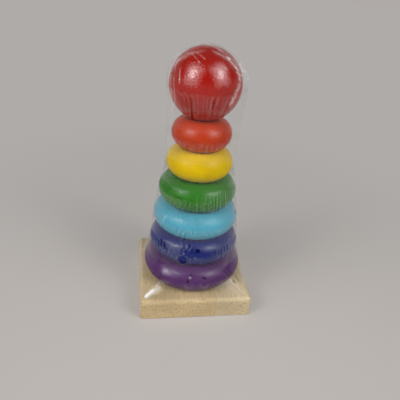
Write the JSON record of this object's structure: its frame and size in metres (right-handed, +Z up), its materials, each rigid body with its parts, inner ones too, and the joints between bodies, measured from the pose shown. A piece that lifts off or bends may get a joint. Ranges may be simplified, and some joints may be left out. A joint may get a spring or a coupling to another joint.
{
  "type": "wooden stacking tower toy",
  "caption": "Wooden stacking tower: round-sided rainbow rings and a ball on a post, on a square glued-up base, in clear shrink film that lifts off.",
  "frame": {"origin": "middle of the square base's underside, on the surface that the tower stands on", "axes": "+Z up along the post; the front, as pictured, faces -Y; +X to the viewer's right"},
  "size_m": [0.082, 0.082, 0.181],
  "materials": {
    "base_wood": "bare sanded rubberwood",
    "base_wood_pale": "bare sanded rubberwood, a paler board",
    "post_wood": "bare turned birch",
    "purple_paint": "gloss water-based paint on wood",
    "dark_blue_paint": "gloss water-based paint on wood",
    "light_blue_paint": "gloss water-based paint on wood",
    "green_paint": "gloss water-based paint on wood",
    "yellow_paint": "gloss water-based paint on wood",
    "orange_paint": "gloss water-based paint on wood",
    "red_paint": "gloss water-based paint on wood",
    "clear_film": "clear shrink film, gloss, finely wrinkled"
  },
  "bodies": {
    "base": {"base_board_wide": "base_wood", "base_board_narrow": "base_wood_pale", "post": "post_wood"},
    "purple_ring": {"ring_purple": "purple_paint"},
    "dark_blue_ring": {"ring_dark_blue": "dark_blue_paint"},
    "light_blue_ring": {"ring_light_blue": "light_blue_paint"},
    "green_ring": {"ring_green": "green_paint"},
    "yellow_ring": {"ring_yellow": "yellow_paint"},
    "orange_ring": {"ring_orange": "orange_paint"},
    "red_ball": {"ball": "red_paint"},
    "film": {"shrink_film": "clear_film"}
  },
  "joints": [
    {"name": "purple_lift", "type": "slide", "parent": "base", "child": "purple_ring", "axis": [0, 0, 1], "range_m": [0, 0.145]},
    {"name": "dark_blue_lift", "type": "slide", "parent": "purple_ring", "child": "dark_blue_ring", "axis": [0, 0, 1], "range_m": [0, 0.125]},
    {"name": "light_blue_lift", "type": "slide", "parent": "dark_blue_ring", "child": "light_blue_ring", "axis": [0, 0, 1], "range_m": [0, 0.105]},
    {"name": "green_lift", "type": "slide", "parent": "light_blue_ring", "child": "green_ring", "axis": [0, 0, 1], "range_m": [0, 0.085]},
    {"name": "yellow_lift", "type": "slide", "parent": "green_ring", "child": "yellow_ring", "axis": [0, 0, 1], "range_m": [0, 0.065]},
    {"name": "orange_lift", "type": "slide", "parent": "yellow_ring", "child": "orange_ring", "axis": [0, 0, 1], "range_m": [0, 0.045]},
    {"name": "ball_lift", "type": "slide", "parent": "orange_ring", "child": "red_ball", "axis": [0, 0, 1], "range_m": [0, 0.03]},
    {"name": "film_lift", "type": "slide", "parent": "red_ball", "child": "film", "axis": [0, 0, 1], "range_m": [0, 0.185]}
  ]
}
